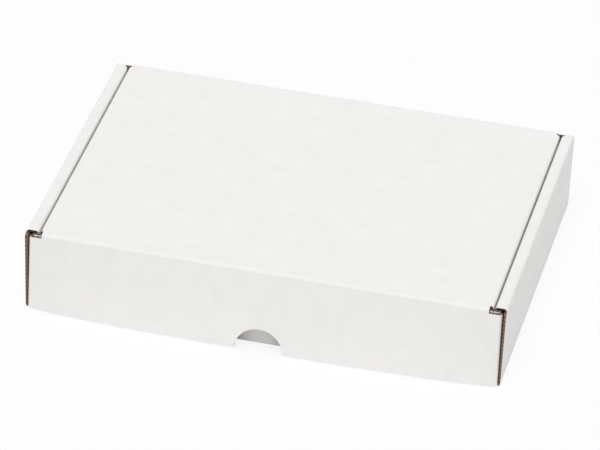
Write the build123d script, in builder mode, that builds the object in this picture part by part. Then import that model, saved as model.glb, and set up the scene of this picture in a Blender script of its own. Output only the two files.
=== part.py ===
from build123d import *

import math
import os

# A corrugated mailer box, closed, standing on its base. +X is to the right, +Y to the back and +Z up.
# The origin is on the underside, at the middle of the footprint. Millimetres.
#
# The box is one die-cut sheet. Base, front wall, back wall and rolled double side walls are folded into
# a tray. The lid hangs on the back wall's top crease, and the front flap on the lid's front crease.
# The sheet is cut into three solids at those two creases, because they are the ones that move.

# --- Overall sizes -------------------------------------------------------------------------------------
width = 325.0  # over the side walls, at the rims
depth = 227.0  # from the front flap's face, at its top, to the back wall
height = 58.5  # from the underside to the lid and the rims

# --- The board -----------------------------------------------------------------------------------------
board = 1.6  # thickness of the corrugated board
fold_outer = 2.0  # radius of the outside of a crease
play = 0.3  # between two layers of board that slide or lie on each other

# --- Side walls ----------------------------------------------------------------------------------------
wall_lean = 0.9  # how much further out a side wall is at its rim than at the base
tab_length = 34.0  # locking tab on the inner side wall
tab_pitch = 118.0  # between the middles of the two tabs of one side
tab_recess = 0.3  # how far a tab's end stays above the underside
rim_nose = 3.0  # height of the slanting cut at each end of a side wall's top
rim_relief = 3.4  # how far the rim's inner corner is cut back at the hinge

# --- Corner flaps, on the ends of the front and back walls ----------------------------------------------
corner_flap_length = 64.0
corner_flap_taper = 9.0  # how much shorter a corner flap is at its free end's top and bottom

# --- Lid -----------------------------------------------------------------------------------------------
lid_gap = 1.3  # between the lid's side and the inner side wall
dust_flap_depth = 47.0
dust_flap_inset = 4.5  # from the front face or the back face to the end of a dust flap's crease
dust_flap_taper = 15.0  # how far the free corners are cut back

# --- Front flap ----------------------------------------------------------------------------------------
flap_clearance = 0.8  # from the surface below to the flap's bottom edge
flap_spring = 2.0  # how far the flap's bottom corners stand out
flap_bow = 6.0  # how much further the middle of its bottom edge stands out
flap_bow_shoulder = 34.0  # control length that keeps the bow full towards the corners
flap_shoulder = 1.0  # how far the flap's top corners are cut down beside the lid crease
ear_reach = 16.0  # how far an ear runs back before it is cut to clear the two swings
notch_radius = 16.5  # thumb notch

# --- Creases that move ----------------------------------------------------------------------------------
mitre_angle = 6.0  # angle left open between the two halves of a moving crease

# --- Worked out from the above --------------------------------------------------------------------------
half_width = width / 2
front = -depth / 2
back = depth / 2
fold_middle = fold_outer - board / 2  # radius of the board's middle in a crease
axis_inset = fold_outer * (1 - math.sqrt(0.5))  # from the sharp corner to the middle of a crease's outside
half_turn = 45 - mitre_angle / 2  # how far each half of a moving crease goes round

# Layers of a side wall, from the outside in: outer wall, ear, corner flap, inner wall.
base_half = half_width - wall_lean
outer_in_bottom = base_half - board
outer_in_top = half_width - board
ear_out = outer_in_bottom - play
ear_in = ear_out - board
corner_flap_out = ear_in - play
corner_flap_in = corner_flap_out - board
inner_wall_out = corner_flap_in - play
inner_wall_in = inner_wall_out - board
lid_half = inner_wall_in - lid_gap
crease_half = lid_half - fold_outer  # half the length of the two creases that move

# Layers at the front: flap, then front wall.
front_wall_out = front + board + play
front_wall_in = front_wall_out + board
back_wall_in = back - board
rim_front = front_wall_in + play
rim_back = back_wall_in - play
wall_top = height - fold_outer
flap_top = wall_top - flap_shoulder
panel_half = ear_out - fold_outer  # half the flap's length between its side creases

lid_axis = (back - axis_inset, height - axis_inset)  # (y, z) of the lid's hinge
flap_axis = (front + axis_inset, height - axis_inset)  # (y, z) of the front flap's hinge
lid_swing = math.hypot(lid_axis[0] - rim_front, lid_axis[1] - (height - board)) + 2 * play


def facing_front(y):
    """The plane across the box at depth y. Its x is X, its y is Z, and it extrudes towards the front."""
    return Plane.XZ.offset(-y)


def facing_right(x):
    """The plane along the box at x. Its x is Y, its y is Z, and it extrudes to the right."""
    return Plane.YZ.offset(x)


# ========================================================================================================
# Tray: base, front wall, back wall, four corner flaps and two rolled side walls, folded from one sheet
# ========================================================================================================
with BuildPart() as tray:
    # Right side: the edge of the base, outer wall, rim and inner wall, as one strip of board.
    with BuildSketch(facing_front(back)):
        with BuildLine():
            FilletPolyline(
                (crease_half, board / 2),
                (base_half - board / 2, board / 2),
                (half_width - board / 2, height - board / 2),
                (inner_wall_in + board / 2, height - board / 2),
                (inner_wall_in + board / 2, board + play),
                radius=fold_middle,
            )
        trace(line_width=board)
    extrude(amount=depth)

    # The rim and the inner wall stop short of the front wall and the back wall.
    with BuildSketch(facing_front(back)):
        with BuildLine():
            Polyline(
                (inner_wall_in - board, 2 * board),
                (outer_in_bottom, 2 * board),
                (outer_in_top, height + board),
                (inner_wall_in - board, height + board),
                close=True,
            )
        make_face()
    extrude(amount=back - rim_back, mode=Mode.SUBTRACT)
    with BuildSketch(facing_front(rim_front)):
        with BuildLine():
            Polyline(
                (inner_wall_in - board, 2 * board),
                (outer_in_bottom, 2 * board),
                (outer_in_top, height + board),
                (inner_wall_in - board, height + board),
                close=True,
            )
        make_face()
    extrude(amount=rim_front - front, mode=Mode.SUBTRACT)

    # Each end of the outer wall slants back to the end of the rim.
    with BuildSketch(facing_right(inner_wall_in - board)):
        with BuildLine():
            Polyline(
                (front - board, height - rim_nose),
                (front, height - rim_nose),
                (rim_front, height),
                (rim_front, height + board),
                (front - board, height + board),
                close=True,
            )
        make_face()
        with BuildLine():
            Polyline(
                (back + board, height - rim_nose),
                (back, height - rim_nose),
                (rim_back, height),
                (rim_back, height + board),
                (back + board, height + board),
                close=True,
            )
        make_face()
    extrude(amount=half_width, mode=Mode.SUBTRACT)

    # The rim's inner corner is cut back at the hinge.
    with BuildSketch(Plane.XY.offset(height - 2 * fold_outer)):
        with BuildLine():
            Polyline(
                (inner_wall_in - board, rim_back + board),
                (inner_wall_in - board, rim_back - rim_relief),
                (inner_wall_in, rim_back - rim_relief),
                (outer_in_top, rim_back + board),
                close=True,
            )
        make_face()
    extrude(amount=3 * fold_outer, mode=Mode.SUBTRACT)

    # The base's corners are cut out between the creases, up to the outer wall.
    with BuildSketch(facing_front(back)):
        with Locations(((crease_half + outer_in_bottom) / 2, board)):
            Rectangle(outer_in_bottom - crease_half, 2 * board)
    extrude(amount=fold_outer, mode=Mode.SUBTRACT)
    with BuildSketch(facing_front(front_wall_out + fold_outer)):
        with Locations(((crease_half + outer_in_bottom) / 2, board)):
            Rectangle(outer_in_bottom - crease_half, 2 * board)
    extrude(amount=front_wall_out + fold_outer - front, mode=Mode.SUBTRACT)

    # Two locking tabs on the inner wall, each through a slot in the base.
    with BuildSketch(Plane.XY):
        with Locations(
            (inner_wall_in + board / 2, tab_pitch / 2), (inner_wall_in + board / 2, -tab_pitch / 2)
        ):
            Rectangle(board + 2 * play, tab_length + 2 * play)
    extrude(amount=board, mode=Mode.SUBTRACT)
    with BuildSketch(Plane.XY.offset(tab_recess)):
        with Locations(
            (inner_wall_in + board / 2, tab_pitch / 2), (inner_wall_in + board / 2, -tab_pitch / 2)
        ):
            Rectangle(board, tab_length)
    extrude(amount=2 * board)

    # Right corner flaps, folded back from the front wall and forward from the back wall.
    with BuildSketch(Plane.XY.offset(fold_outer + play)):
        with BuildLine():
            FilletPolyline(
                (crease_half, front_wall_out + board / 2),
                (corner_flap_out - board / 2, front_wall_out + board / 2),
                (corner_flap_out - board / 2, front_wall_out + corner_flap_length),
                radius=fold_middle,
            )
            FilletPolyline(
                (crease_half, back - board / 2),
                (corner_flap_out - board / 2, back - board / 2),
                (corner_flap_out - board / 2, back - corner_flap_length),
                radius=fold_middle,
            )
        trace(line_width=board)
    extrude(amount=wall_top - fold_outer - play)
    with BuildSketch(facing_right(corner_flap_in - play / 2)):
        for end, way in ((front_wall_out + corner_flap_length, -1), (back - corner_flap_length, 1)):
            for edge, rise in ((fold_outer + play, 1), (wall_top, -1)):
                with BuildLine():
                    Polyline(
                        (end - way, edge - rise),
                        (end - way, edge + 2 * corner_flap_taper * rise),
                        (end, edge + 2 * corner_flap_taper * rise),
                        (end + way * corner_flap_taper, edge),
                        (end + way * corner_flap_taper, edge - rise),
                        close=True,
                    )
                make_face()
    extrude(amount=board + play, mode=Mode.SUBTRACT)

    mirror(about=Plane.YZ)

    # Front wall, base and back wall, as one strip of board between the two sides.
    with BuildSketch(facing_right(-crease_half - play)):
        with BuildLine():
            FilletPolyline(
                (front_wall_out + board / 2, wall_top),
                (front_wall_out + board / 2, board / 2),
                (back - board / 2, board / 2),
                (back - board / 2, wall_top),
                radius=fold_middle,
            )
        trace(line_width=board)
    extrude(amount=2 * (crease_half + play))

    # The back wall's half of the lid crease.
    with BuildSketch(facing_right(-crease_half)):
        with BuildLine():
            CenterArc((back - fold_outer, wall_top), fold_middle, 0, half_turn)
        trace(line_width=board)
    extrude(amount=2 * crease_half)

# ========================================================================================================
# Lid: top panel with a dust flap folded down along each side
# ========================================================================================================
with BuildPart() as lid:
    # Right dust flap with its crease, tapered at both ends.
    with BuildSketch(facing_front(back - dust_flap_inset)):
        with BuildLine():
            FilletPolyline(
                (crease_half - board, height - board / 2),
                (lid_half - board / 2, height - board / 2),
                (lid_half - board / 2, height - dust_flap_depth),
                radius=fold_middle,
            )
        trace(line_width=board)
    extrude(amount=depth - 2 * dust_flap_inset)
    with BuildSketch(facing_right(lid_half - board - play)):
        for end, way in ((front + dust_flap_inset, 1), (back - dust_flap_inset, -1)):
            with BuildLine():
                Polyline(
                    (end - way, wall_top - play),
                    (end, wall_top - play),
                    (end + way * dust_flap_taper, height - dust_flap_depth),
                    (end + way * dust_flap_taper, height - dust_flap_depth - 1),
                    (end - way, height - dust_flap_depth - 1),
                    close=True,
                )
            make_face()
    extrude(amount=board + 2 * play, mode=Mode.SUBTRACT)

    mirror(about=Plane.YZ)

    # Top panel, with its halves of the two moving creases.
    with BuildSketch(facing_right(-crease_half)):
        with BuildLine():
            front_arc = CenterArc((front + fold_outer, wall_top), fold_middle, 90, half_turn)
            Line((front + fold_outer, height - board / 2), (back - fold_outer, height - board / 2))
            back_arc = CenterArc((back - fold_outer, wall_top), fold_middle, 90, -half_turn)
        trace(line_width=board)
    extrude(amount=2 * crease_half)

# ========================================================================================================
# Front flap: the panel in front of the front wall, with an ear at each end and the thumb notch
# ========================================================================================================
with BuildPart() as front_flap:
    # The flap is straight at its top and bows outwards towards its bottom edge.
    for level, spring, bow in ((flap_top, 0.0, 0.0), (flap_clearance, flap_spring, flap_bow)):
        corner_y = front - spring + fold_outer
        middle_y = front - spring + board / 2
        bow_pull = bow / 0.75  # a cubic curve with two equal controls rises to three quarters of them
        with BuildSketch(Plane.XY.offset(level)):
            with BuildLine():
                Line((board / 2 - ear_out, front + ear_reach), (board / 2 - ear_out, corner_y))
                CenterArc((-panel_half, corner_y), fold_middle, 180, 90)
                Bezier(
                    (-panel_half, middle_y),
                    (-panel_half + flap_bow_shoulder, middle_y - bow_pull),
                    (panel_half - flap_bow_shoulder, middle_y - bow_pull),
                    (panel_half, middle_y),
                )
                CenterArc((panel_half, corner_y), fold_middle, 270, 90)
                Line((ear_out - board / 2, corner_y), (ear_out - board / 2, front + ear_reach))
            trace(line_width=board)
    loft(ruled=True)

    # The ears are cut to what both swings leave them: above the base as the flap opens, and clear of
    # the rims' front ends as the lid lifts with the flap still closed.
    with BuildSketch(facing_right(-ear_out - play)):
        with Locations((front + board + ear_reach / 2, height / 2)):
            Rectangle(ear_reach, height)
        with Locations(flap_axis):
            Circle(flap_axis[1] - board - 2 * play, mode=Mode.SUBTRACT)
        with Locations(lid_axis):
            Circle(lid_swing)
    extrude(amount=2 * (ear_out + play), mode=Mode.SUBTRACT)

    # The flap's half of the front crease.
    with BuildSketch(facing_right(-crease_half)):
        with BuildLine():
            Line((front + board / 2, flap_top - board), (front + board / 2, wall_top))
            CenterArc((front + fold_outer, wall_top), fold_middle, 180, -half_turn)
        trace(line_width=board)
    extrude(amount=2 * crease_half)

    # Thumb notch in the bottom edge.
    with BuildSketch(facing_front(front_wall_out)):
        Circle(notch_radius)
    extrude(amount=board + flap_spring + flap_bow + 2 * play, mode=Mode.SUBTRACT)

for piece, name in ((tray, "tray"), (lid, "lid"), (front_flap, "front_flap")):
    piece.part.label = name
    print(name, piece.part.is_valid, len(piece.part.solids()), round(piece.part.volume))

os.makedirs("parts", exist_ok=True)
export_step(tray.part, "parts/tray.step")
export_step(lid.part, "parts/lid.step")
export_step(front_flap.part, "parts/front_flap.step")
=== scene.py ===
"""A white-faced corrugated mailer box, closed, on a pale floor in soft studio light."""

import logging
import math
from collections import deque
from dataclasses import dataclass, field
from enum import Enum

import bmesh
import bpy
from mathutils import Matrix, Vector
from mathutils.bvhtree import BVHTree


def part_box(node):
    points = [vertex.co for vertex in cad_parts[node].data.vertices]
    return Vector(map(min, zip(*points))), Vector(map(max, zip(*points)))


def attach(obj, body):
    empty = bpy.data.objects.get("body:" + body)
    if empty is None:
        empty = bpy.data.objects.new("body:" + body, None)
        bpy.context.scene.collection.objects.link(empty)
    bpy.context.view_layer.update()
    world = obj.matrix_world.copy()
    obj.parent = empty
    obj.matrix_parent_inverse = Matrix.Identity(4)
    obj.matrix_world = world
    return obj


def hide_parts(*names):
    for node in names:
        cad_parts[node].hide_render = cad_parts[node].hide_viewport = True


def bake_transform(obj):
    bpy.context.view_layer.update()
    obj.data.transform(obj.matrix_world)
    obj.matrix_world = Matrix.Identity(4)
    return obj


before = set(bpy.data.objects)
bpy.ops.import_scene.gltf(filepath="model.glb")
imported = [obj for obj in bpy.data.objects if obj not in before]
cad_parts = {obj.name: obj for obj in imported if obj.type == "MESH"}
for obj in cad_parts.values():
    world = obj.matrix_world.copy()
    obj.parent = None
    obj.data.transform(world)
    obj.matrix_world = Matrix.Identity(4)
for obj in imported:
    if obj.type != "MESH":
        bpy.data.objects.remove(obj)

logging.basicConfig(level=logging.INFO, format="%(message)s")
LOG = logging.getLogger("mailer_box")

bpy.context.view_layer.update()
MM = 0.001


class Side(Enum):
    """The three kinds of surface that a folded sheet of board shows."""

    OUTER = 0
    INNER = 1
    EDGE = 2


@dataclass(frozen=True)
class Board:
    """The corrugated board's own sizes, in metres."""

    thickness: float = 1.6 * MM
    fold_outer: float = 2.0 * MM
    flute_pitch: float = 3.2 * MM
    liner: float = 0.22 * MM
    wall_lean: float = 0.9 * MM

    def wave_scale(self) -> float:
        """The Wave Texture's scale that gives one band for each flute, as it has 20 radians a unit."""
        return math.tau / (20 * self.flute_pitch)


def linear(hex_colour: str) -> tuple[float, float, float, float]:
    """Converts an sRGB hex colour to linear RGBA.

    Args:
        hex_colour: six hex digits, such as "F2F1EE".

    Returns:
        The linear red, green, blue and an alpha of 1.
    """
    values = [int(hex_colour[i : i + 2], 16) / 255 for i in (0, 2, 4)]
    red, green, blue = (v / 12.92 if v <= 0.04045 else ((v + 0.055) / 1.055) ** 2.4 for v in values)
    return (red, green, blue, 1.0)


def add_node(tree: bpy.types.NodeTree, kind: str, links: dict | None = None, **settings) -> bpy.types.Node:
    """Adds a node, sets its properties or inputs and links its inputs.

    Args:
        tree: the node tree.
        kind: the node's type name.
        links: input name or index to the output socket that feeds it.
        settings: properties by name, or inputs by name with spaces as underscores.

    Returns:
        The new node.
    """
    node = tree.nodes.new(kind)
    for name, value in settings.items():
        if hasattr(node, name):
            setattr(node, name, value)
        else:
            node.inputs[name.replace("_", " ")].default_value = value
    for key, socket in (links or {}).items():
        tree.links.new(socket, node.inputs[key])
    return node


@dataclass(frozen=True)
class PaperFinish:
    """A paper surface: its colour, its fibre mottling and its tooth.

    A matt uncoated paper has an index of refraction near 1.5 and scatters almost all of its light.
    """

    name: str
    light: str
    dark: str
    mottle_mm: float
    roughness: float
    bump_mm: float
    fibre_mm: float = 0.9
    spread: tuple[float, float] = (0.32, 0.68)

    def make(self, board: Board) -> bpy.types.Material:
        """Builds the material.

        Args:
            board: the board under the paper, whose flutes print through faintly.

        Returns:
            The material.
        """
        material = bpy.data.materials.new(self.name)
        material.use_nodes = True
        tree = material.node_tree
        shader = tree.nodes["Principled BSDF"]
        place = add_node(tree, "ShaderNodeTexCoord").outputs["Object"]
        mottle = add_node(
            tree,
            "ShaderNodeTexNoise",
            {"Vector": place},
            Scale=1 / (self.mottle_mm * MM),
            Detail=6.0,
            Roughness=0.6,
        )
        fibre = add_node(tree, "ShaderNodeTexNoise", {"Vector": place}, Scale=1 / (self.fibre_mm * MM), Detail=3.0)
        ramp = add_node(tree, "ShaderNodeValToRGB", {"Fac": mottle.outputs["Fac"]})
        ramp.color_ramp.elements[0].position = self.spread[0]
        ramp.color_ramp.elements[0].color = linear(self.dark)
        ramp.color_ramp.elements[1].position = self.spread[1]
        ramp.color_ramp.elements[1].color = linear(self.light)
        tree.links.new(ramp.outputs["Color"], shader.inputs["Base Color"])
        # The flutes under the liner show as very shallow ridges that run along the sheet.
        ridges = add_node(
            tree,
            "ShaderNodeTexWave",
            {"Vector": place},
            bands_direction="X",
            Scale=board.wave_scale(),
            Distortion=0.6,
        )
        relief = add_node(
            tree, "ShaderNodeMath", {0: ridges.outputs["Fac"], 1: fibre.outputs["Fac"]}, operation="ADD"
        )
        bump = add_node(
            tree, "ShaderNodeBump", {"Height": relief.outputs[0]}, Strength=0.35, Distance=self.bump_mm * MM
        )
        tree.links.new(bump.outputs["Normal"], shader.inputs["Normal"])
        shader.inputs["Roughness"].default_value = self.roughness
        shader.inputs["IOR"].default_value = 1.5
        return material


@dataclass(frozen=True)
class CutFinish:
    """The cut edge of corrugated board: kraft liners, with the open flutes between them drawn as painted shade."""

    name: str = "cut_corrugated_edge"
    paper: str = "8A7160"
    # painted shade: this dark brown stands for the shadow inside the open flutes, which are not modelled
    painted_flute_shade: str = "3A2C24"

    def make(self, board: Board) -> bpy.types.Material:
        """Builds the material, with the flutes' pitch from the board.

        Args:
            board: the board that is cut.

        Returns:
            The material.
        """
        material = bpy.data.materials.new(self.name)
        material.use_nodes = True
        tree = material.node_tree
        shader = tree.nodes["Principled BSDF"]
        place = add_node(tree, "ShaderNodeTexCoord").outputs["Object"]
        waves = [
            add_node(
                tree,
                "ShaderNodeTexWave",
                {"Vector": place},
                bands_direction=way,
                Scale=board.wave_scale(),
                Distortion=1.2,
                Detail=2.0,
            ).outputs["Fac"]
            for way in ("Z", "X")
        ]
        both = add_node(tree, "ShaderNodeMath", {0: waves[0], 1: waves[1]}, operation="MULTIPLY")
        ramp = add_node(tree, "ShaderNodeValToRGB", {"Fac": both.outputs[0]})
        ramp.color_ramp.elements[0].position = 0.05
        # The ramp's dark end paints the shade inside the open flutes, where both waves are low.
        ramp.color_ramp.elements[0].color = linear(self.painted_flute_shade)
        ramp.color_ramp.elements[1].position = 0.6
        ramp.color_ramp.elements[1].color = linear(self.paper)
        tree.links.new(ramp.outputs["Color"], shader.inputs["Base Color"])
        bump = add_node(tree, "ShaderNodeBump", {"Height": both.outputs[0]}, Strength=0.6, Distance=0.4 * MM)
        tree.links.new(bump.outputs["Normal"], shader.inputs["Normal"])
        shader.inputs["Roughness"].default_value = 0.9
        shader.inputs["IOR"].default_value = 1.5
        return material


@dataclass
class FoldedSheet:
    """One folded piece of board that stands for a CAD node, with its two faces and its cut edges told apart."""

    node: str
    slot: str
    seed_normal: Vector
    board: Board
    finishes: dict = field(default_factory=dict)
    edge_depth: float = 1.35  # board thicknesses behind a face, past which it is a cut edge
    fold_limit: float = 0.7  # radians between two faces, past which the liner does not run on

    def build(self) -> bpy.types.Object:
        """Copies the node's mesh, joins its triangles and gives each face its kind of surface.

        Returns:
            The dressed piece.
        """
        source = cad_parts[self.node]
        mesh = bpy.data.meshes.new(f"{self.node}_board")
        sheet = bmesh.new()
        sheet.from_mesh(source.data)
        sheet.transform(source.matrix_world)
        bmesh.ops.remove_doubles(sheet, verts=sheet.verts, dist=1e-6)
        bmesh.ops.dissolve_limit(sheet, angle_limit=math.radians(0.5), verts=sheet.verts, edges=sheet.edges)
        bmesh.ops.triangulate(sheet, faces=sheet.faces)
        sheet.faces.ensure_lookup_table()
        self.classify(sheet)
        sheet.to_mesh(mesh)
        sheet.free()
        piece = bpy.data.objects.new(f"{self.node}_board", mesh)
        bpy.context.scene.collection.objects.link(piece)
        for side in Side:
            mesh.materials.append(self.finishes[side])
        return piece

    def classify(self, sheet: bmesh.types.BMesh) -> None:
        """Marks cut edges by how deep the board is behind them, and spreads the outer face from a seed.

        Args:
            sheet: the merged mesh, whose faces get a material index.
        """
        tree = BVHTree.FromBMesh(sheet)
        deep = set()
        for face in sheet.faces:
            start = face.calc_center_median() - face.normal * 1e-6
            hit = tree.ray_cast(start, -face.normal)
            if hit[3] is None or hit[3] > self.edge_depth * self.board.thickness:
                deep.add(face.index)
            face.smooth = False
        liner = [face for face in sheet.faces if face.index not in deep]
        seed = max(liner, key=lambda face: (round(face.normal.dot(self.seed_normal), 2), face.calc_area()))
        outer = {seed.index}
        queue = deque([seed])
        while queue:
            for edge in queue.popleft().edges:
                for other in edge.link_faces:
                    if other.index in outer or other.index in deep or edge.calc_face_angle(0) > self.fold_limit:
                        continue
                    outer.add(other.index)
                    queue.append(other)
        for face in sheet.faces:
            kind = Side.EDGE if face.index in deep else Side.OUTER if face.index in outer else Side.INNER
            face.material_index = kind.value
        LOG.info("%s: %d outer, %d edge of %d", self.node, len(outer), len(deep), len(sheet.faces))

    def dress(self, piece: bpy.types.Object, body: str) -> None:
        """Makes the piece ride on its body in place of its node.

        Args:
            piece: the built piece.
            body: the CAD body's name.
        """
        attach(piece, body)
        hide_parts(self.node)


@dataclass
class CreaseSkin:
    """The strip of white liner that runs unbroken round a crease, built as it lies with the box closed and fixed
    there.
    """

    name: str
    slot: str
    parent: str
    child: str
    middle: tuple[float, float]
    lean: float
    half_length: float
    board: Board
    steps: int = 6
    first_angle: float = 15.0
    last_angle: float = 75.0
    sunk: float = 0.02 * MM

    def angle(self, share: float) -> float:
        """The angle round the crease at a share of the strip's way, in radians."""
        return math.radians(90 + self.lean * (self.first_angle + (self.last_angle - self.first_angle) * share))

    def point(self, x: float, radius: float, angle: float) -> tuple[float, float, float]:
        """The point at x and at a radius and an angle about the crease's middle."""
        return (x, self.middle[0] + radius * math.cos(angle), self.middle[1] + radius * math.sin(angle))

    def build(self, finish: bpy.types.Material) -> bpy.types.Object:
        """Makes the strip round the crease, just under the board's outside.

        Args:
            finish: the liner's material.

        Returns:
            The strip.
        """
        mesh = bpy.data.meshes.new(self.name)
        strip = bmesh.new()
        radii = (self.board.fold_outer - self.sunk, self.board.fold_outer - self.board.liner)
        rows = [
            [
                strip.verts.new(self.point(x, radius, self.angle(step / self.steps)))
                for x in (-self.half_length, self.half_length)
                for radius in radii
            ]
            for step in range(self.steps + 1)
        ]
        around = (0, 2, 3, 1)
        for low, high in zip(rows, rows[1:]):
            for a, b in zip(around, around[1:] + around[:1]):
                strip.faces.new((low[a], low[b], high[b], high[a]))
        for end in (rows[0], rows[-1]):
            strip.faces.new([end[i] for i in around])
        bmesh.ops.recalc_face_normals(strip, faces=strip.faces)
        strip.to_mesh(mesh)
        strip.free()
        mesh.materials.append(finish)
        piece = bpy.data.objects.new(self.name, mesh)
        bpy.context.scene.collection.objects.link(piece)
        start, end = (self.point(0.0, self.board.fold_outer, self.angle(share)) for share in (0, 1))
        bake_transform(piece)
        LOG.info("%s: crease skin", self.name)
        return piece


@dataclass
class FluteWave:
    """The wavy middle paper that shows between the liners at the front cut edge of a side wall."""

    name: str
    start: Vector
    end: Vector
    board: Board
    points: int = 240
    paper: float = 0.2 * MM

    def tree(self) -> bpy.types.NodeTree:
        """Builds the node tree of a line bent into a sine wave and given a square section.

        Returns:
            The geometry node tree.
        """
        tree = bpy.data.node_groups.new(self.name, "GeometryNodeTree")
        for label, kind in (
            ("Start", "NodeSocketVector"),
            ("Step", "NodeSocketVector"),
            ("Pitch", "NodeSocketFloat"),
            ("Height", "NodeSocketFloat"),
            ("Paper", "NodeSocketFloat"),
            ("Material", "NodeSocketMaterial"),
        ):
            tree.interface.new_socket(label, in_out="INPUT", socket_type=kind)
        tree.interface.new_socket("Geometry", in_out="OUTPUT", socket_type="NodeSocketGeometry")
        given = add_node(tree, "NodeGroupInput").outputs
        line = add_node(
            tree,
            "GeometryNodeMeshLine",
            {"Start Location": given["Start"], "Offset": given["Step"]},
            Count=self.points,
        )
        place = add_node(tree, "GeometryNodeInputPosition")
        parts = add_node(tree, "ShaderNodeSeparateXYZ", {0: place.outputs[0]})
        turns = add_node(tree, "ShaderNodeMath", {0: parts.outputs["Z"], 1: given["Pitch"]}, operation="DIVIDE")
        angle = add_node(tree, "ShaderNodeMath", {0: turns.outputs[0]}, operation="MULTIPLY")
        angle.inputs[1].default_value = math.tau
        wave = add_node(tree, "ShaderNodeMath", {0: angle.outputs[0]}, operation="SINE")
        swing = add_node(tree, "ShaderNodeMath", {0: wave.outputs[0], 1: given["Height"]}, operation="MULTIPLY")
        shift = add_node(tree, "ShaderNodeCombineXYZ", {"X": swing.outputs[0]})
        bent = add_node(
            tree, "GeometryNodeSetPosition", {"Geometry": line.outputs[0], "Offset": shift.outputs[0]}
        )
        path = add_node(tree, "GeometryNodeMeshToCurve", {"Mesh": bent.outputs[0]})
        section = add_node(
            tree, "GeometryNodeCurvePrimitiveQuadrilateral", {"Width": given["Paper"], "Height": given["Paper"]}
        )
        band = add_node(
            tree, "GeometryNodeCurveToMesh", {"Curve": path.outputs[0], "Profile Curve": section.outputs[0]}
        )
        band.inputs["Fill Caps"].default_value = True
        real = add_node(tree, "GeometryNodeRealizeInstances", {0: band.outputs[0]})
        made = add_node(
            tree, "GeometryNodeSetMaterial", {"Geometry": real.outputs[0], "Material": given["Material"]}
        )
        add_node(tree, "NodeGroupOutput", {0: made.outputs[0]})
        return tree

    def build(self, finish: bpy.types.Material) -> bpy.types.Object:
        """Runs the tree once and keeps its result as a plain mesh on the tray.

        Args:
            finish: the kraft paper's material.

        Returns:
            The wave.
        """
        tree = self.tree()
        carrier = bpy.data.objects.new(self.name, bpy.data.meshes.new(self.name))
        bpy.context.scene.collection.objects.link(carrier)
        modifier = carrier.modifiers.new("wave", "NODES")
        modifier.node_group = tree
        values = {
            "Start": self.start,
            "Step": (self.end - self.start) / (self.points - 1),
            "Pitch": self.board.flute_pitch,
            "Height": self.board.thickness / 2 - self.board.liner - self.paper,
            "Paper": self.paper,
            "Material": finish,
        }
        for item in tree.interface.items_tree:
            if item.in_out == "INPUT":
                modifier[item.identifier] = values[item.name]
        bpy.context.view_layer.update()
        seen = carrier.evaluated_get(bpy.context.evaluated_depsgraph_get())
        mesh = bpy.data.meshes.new_from_object(seen)
        carrier.modifiers.clear()
        carrier.data = mesh
        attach(carrier, "tray")
        LOG.info("%s: %d faces", self.name, len(mesh.polygons))
        return carrier


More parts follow.
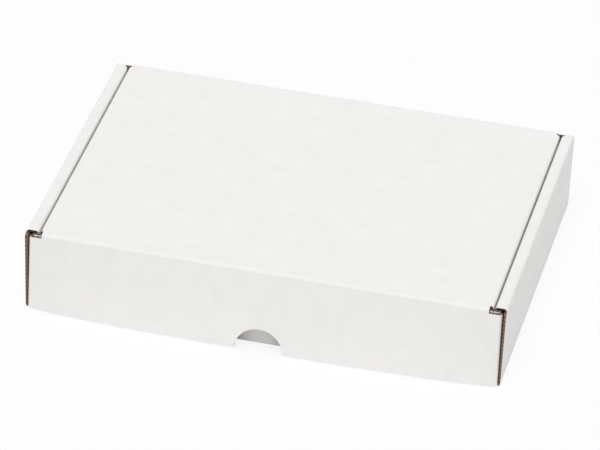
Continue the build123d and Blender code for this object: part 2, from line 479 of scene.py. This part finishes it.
@dataclass(frozen=True)
class Studio:
    """The floor, the light and the camera."""

    reach: float = 6.0
    sky: float = 0.55
    sun: float = 1.42
    sun_way: tuple[float, float, float] = (0.0, -0.15, 0.424)
    azimuth: float = 12.6
    elevation: float = 33.13
    roll: float = 2.42
    lens: float = 294.9
    offset: tuple[float, float, float] = (0.0041, -0.0622, -10.27)
    unit: float = 325 * MM
    floor_glow: float = 0.84

    def build(self) -> None:
        """Sets the world, the sun, the floor and the camera."""
        scene = bpy.context.scene
        scene.view_settings.view_transform = "Standard"
        world = scene.world or bpy.data.worlds.new("studio")
        scene.world = world
        world.use_nodes = True
        sky = world.node_tree.nodes["Background"]
        sky.inputs["Color"].default_value = (1, 1, 1, 1)
        path = add_node(world.node_tree, "ShaderNodeLightPath")
        level = add_node(
            world.node_tree,
            "ShaderNodeMapRange",
            {"Value": path.outputs["Is Camera Ray"]},
            To_Min=self.sky,
            To_Max=1.0,
        )
        world.node_tree.links.new(level.outputs["Result"], sky.inputs["Strength"])
        lamp = bpy.data.lights.new("key", "SUN")
        lamp.energy = self.sun
        lamp.angle = math.radians(35)
        key = bpy.data.objects.new("key", lamp)
        key.rotation_mode = "QUATERNION"
        key.rotation_quaternion = Vector(self.sun_way).to_track_quat("Z", "Y")
        scene.collection.objects.link(key)
        self.floor()
        self.camera()

    def floor(self) -> None:
        """A pale floor that keeps the object's shadow."""
        mesh = bpy.data.meshes.new("floor")
        r = self.reach
        mesh.from_pydata([(-r, -r, 0), (r, -r, 0), (r, r, 0), (-r, r, 0)], [], [(0, 1, 2, 3)])
        floor = bpy.data.objects.new("floor", mesh)
        bpy.context.scene.collection.objects.link(floor)
        material = bpy.data.materials.new("pale_floor")
        material.use_nodes = True
        tree = material.node_tree
        shader = tree.nodes["Principled BSDF"]
        shader.inputs["Base Color"].default_value = linear("F4F4F4")
        shader.inputs["Roughness"].default_value = 0.95
        shader.inputs["Specular IOR Level"].default_value = 0.0
        glow = add_node(tree, "ShaderNodeEmission", Color=(1, 1, 1, 1), Strength=1.0)
        path = add_node(tree, "ShaderNodeLightPath")
        share = add_node(tree, "ShaderNodeMath", {0: path.outputs["Is Camera Ray"]}, operation="MULTIPLY")
        share.inputs[1].default_value = self.floor_glow
        mix = add_node(
            tree, "ShaderNodeMixShader", {0: share.outputs[0], 1: shader.outputs[0], 2: glow.outputs[0]}
        )
        tree.links.new(mix.outputs[0], tree.nodes["Material Output"].inputs["Surface"])
        mesh.materials.append(material)

    def camera(self) -> None:
        """A long lens looking down at the front, a little from the right and slightly rolled."""
        a, e, roll = (math.radians(v) for v in (self.azimuth, self.elevation, self.roll))
        away = Vector((math.sin(a) * math.cos(e), -math.cos(a) * math.cos(e), math.sin(e)))
        right = Vector((0, 0, 1)).cross(away).normalized()
        up = away.cross(right)
        turned_right = right * math.cos(roll) + up * math.sin(roll)
        turned_up = up * math.cos(roll) - right * math.sin(roll)
        turn = Matrix((turned_right, turned_up, away))
        lens = bpy.data.cameras.new("camera")
        lens.lens = self.lens
        lens.sensor_width = 36
        lens.clip_end = 50
        camera = bpy.data.objects.new("camera", lens)
        place = -(turn.transposed() @ (Vector(self.offset) * self.unit))
        camera.matrix_world = Matrix.Translation(place) @ turn.transposed().to_4x4()
        bpy.context.scene.collection.objects.link(camera)
        bpy.context.scene.camera = camera


def main() -> None:
    """Builds the pieces in order and reports each."""
    board = Board()
    Studio().build()
    white = PaperFinish("white_liner", "F7F6F4", "F3F2F0", 14.0, 0.72, 0.03).make(board)
    kraft = PaperFinish("kraft_liner", "A98D6E", "9A7E60", 6.0, 0.85, 0.05).make(board)
    finishes = {Side.OUTER: white, Side.INNER: kraft, Side.EDGE: CutFinish().make(board)}
    for node, slot, normal in (
        ("tray", "tray_board", Vector((0, 0, -1))),
        ("lid", "lid_board", Vector((0, 0, 1))),
        ("front_flap", "flap_board", Vector((0, -1, 0))),
    ):
        sheet = FoldedSheet(node, slot, normal, board, finishes)
        sheet.dress(sheet.build(), node)
        LOG.info("%s: dressed", node)
    _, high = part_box("lid")
    half = high[0] - board.fold_outer
    fold_z = high[2] - board.fold_outer
    tray_low, tray_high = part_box("tray")
    front, back = tray_low[1], tray_high[1]
    nose = 4 * MM  # the slanting cut at the top of a side wall's front edge, with a little to spare
    for side, name in ((-1, "left_flute_wave"), (1, "right_flute_wave")):
        middle = tray_high[0] - board.thickness / 2
        foot = Vector((side * (middle - board.wall_lean), front, nose / 2))
        top = Vector((side * middle, front, tray_high[2] - nose))
        FluteWave(name, foot, top, board).build(kraft)
    CreaseSkin(
        "rear_crease_skin", "lid_board", "lid", "tray", (back - board.fold_outer, fold_z), -1, half, board
    ).build(white)
    CreaseSkin(
        "front_crease_skin", "lid_board", "lid", "front_flap", (front + board.fold_outer, fold_z), 1, half, board
    ).build(white)


if __name__ == "__main__":
    main()
